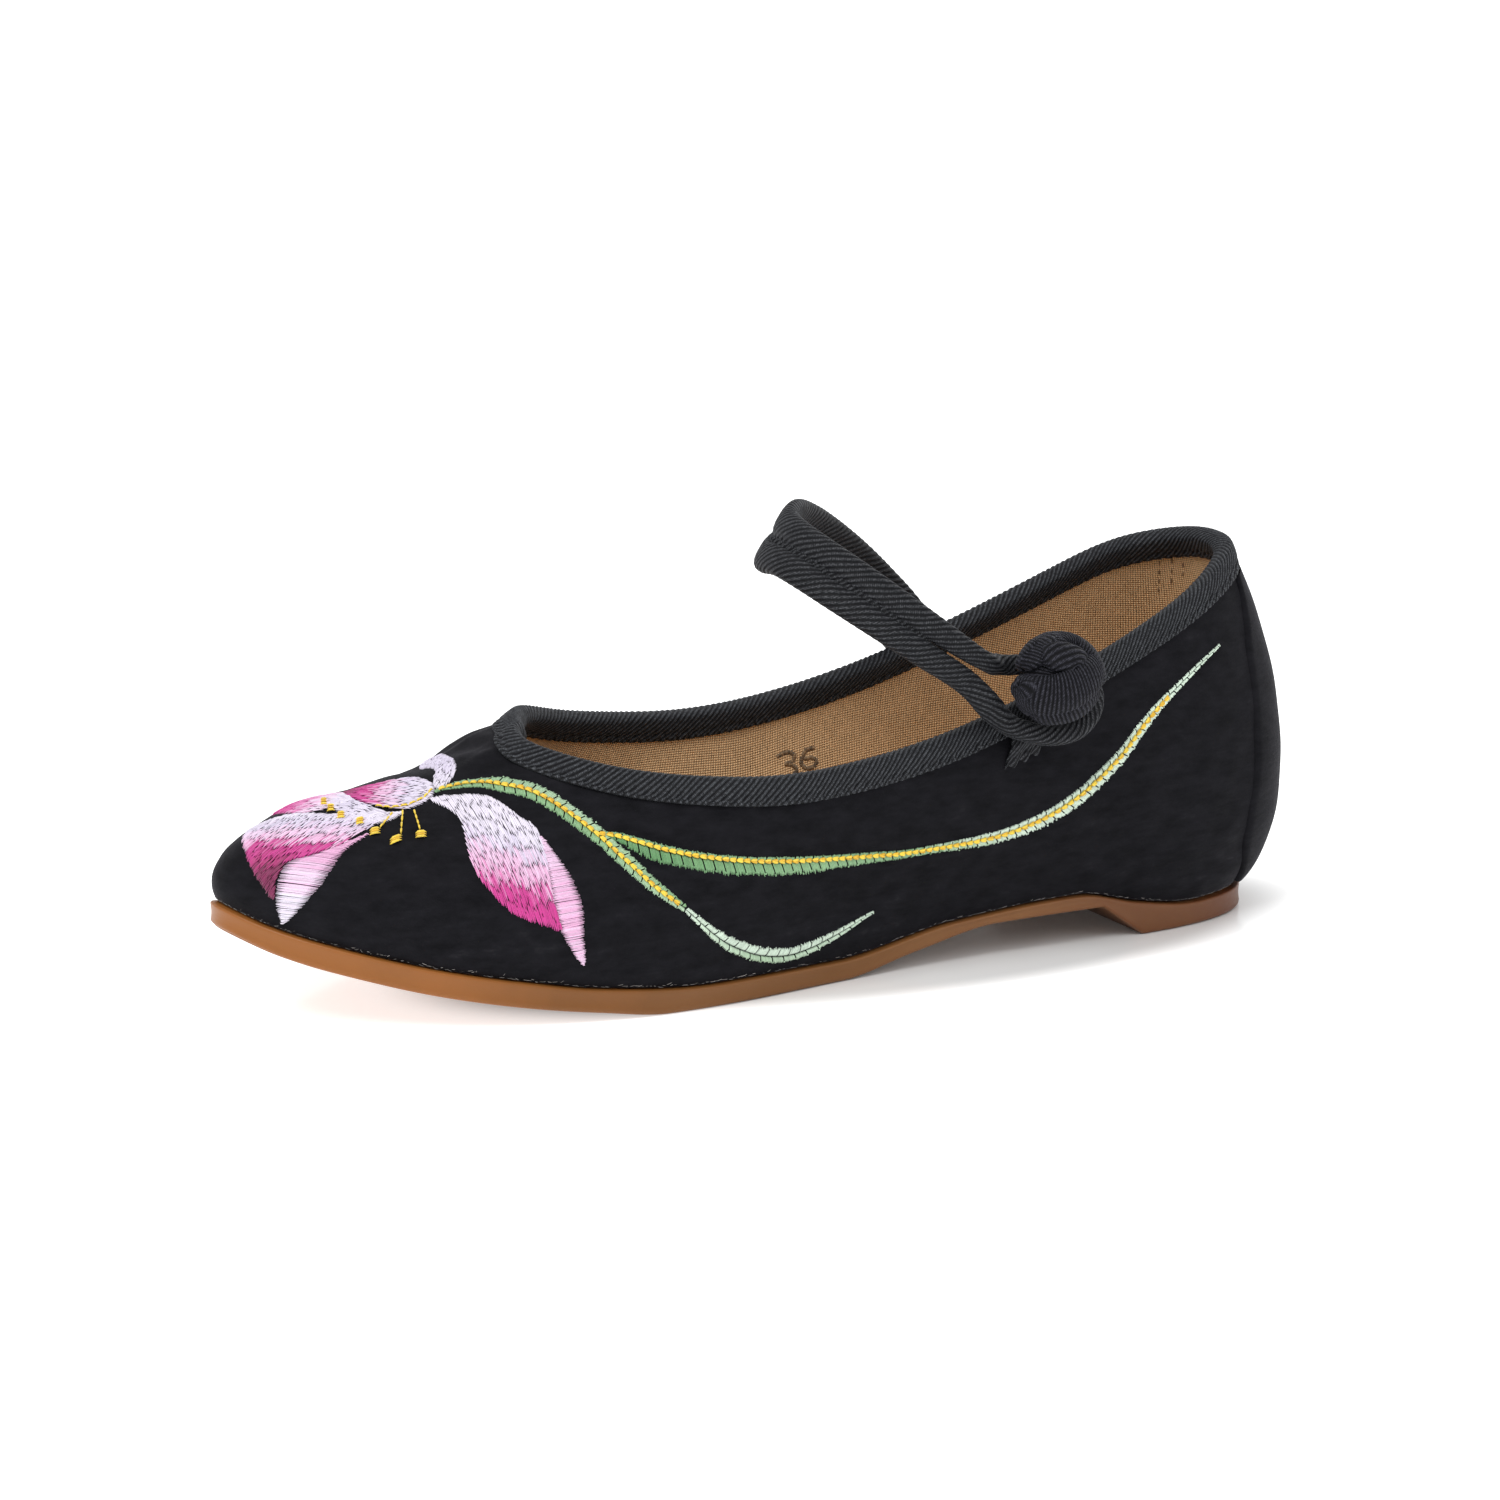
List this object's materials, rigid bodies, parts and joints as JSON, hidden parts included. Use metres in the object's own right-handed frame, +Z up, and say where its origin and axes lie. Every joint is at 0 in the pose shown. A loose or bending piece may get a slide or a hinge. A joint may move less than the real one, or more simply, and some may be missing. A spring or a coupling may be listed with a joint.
{
  "type": "chinese cloth shoe",
  "caption": "Flat left cloth shoe: velvet upper with an embroidered lotus, twill-bound collar, loop strap over a knotted button, heel patch, wedge footbed and moulded rubber sole",
  "frame": {"origin": "on the floor at the middle of the heel's flat tread", "axes": "+X towards the heel with the toe at -X, +Y towards the inner side of the foot, +Z up; metres"},
  "size_m": [0.2467, 0.0866, 0.0938],
  "materials": {
    "gum_rubber": "smooth moulded gum rubber",
    "velvet": "black cotton velvet",
    "canvas": "tan cotton canvas",
    "twill_tape": "black twill tape",
    "velvet_patch": "black cotton velvet",
    "twill_cord": "black twill cord",
    "twill_knot": "black twill cord",
    "twill_tail": "black twill cord"
  },
  "bodies": {
    "root": {"outsole": "gum_rubber", "upper": "velvet", "insole": "canvas", "collar_binding": "twill_tape", "heel_patch": "velvet_patch", "strap": "twill_cord", "button_knot": "twill_knot", "button_tail": "twill_tail"}
  },
  "joints": []
}
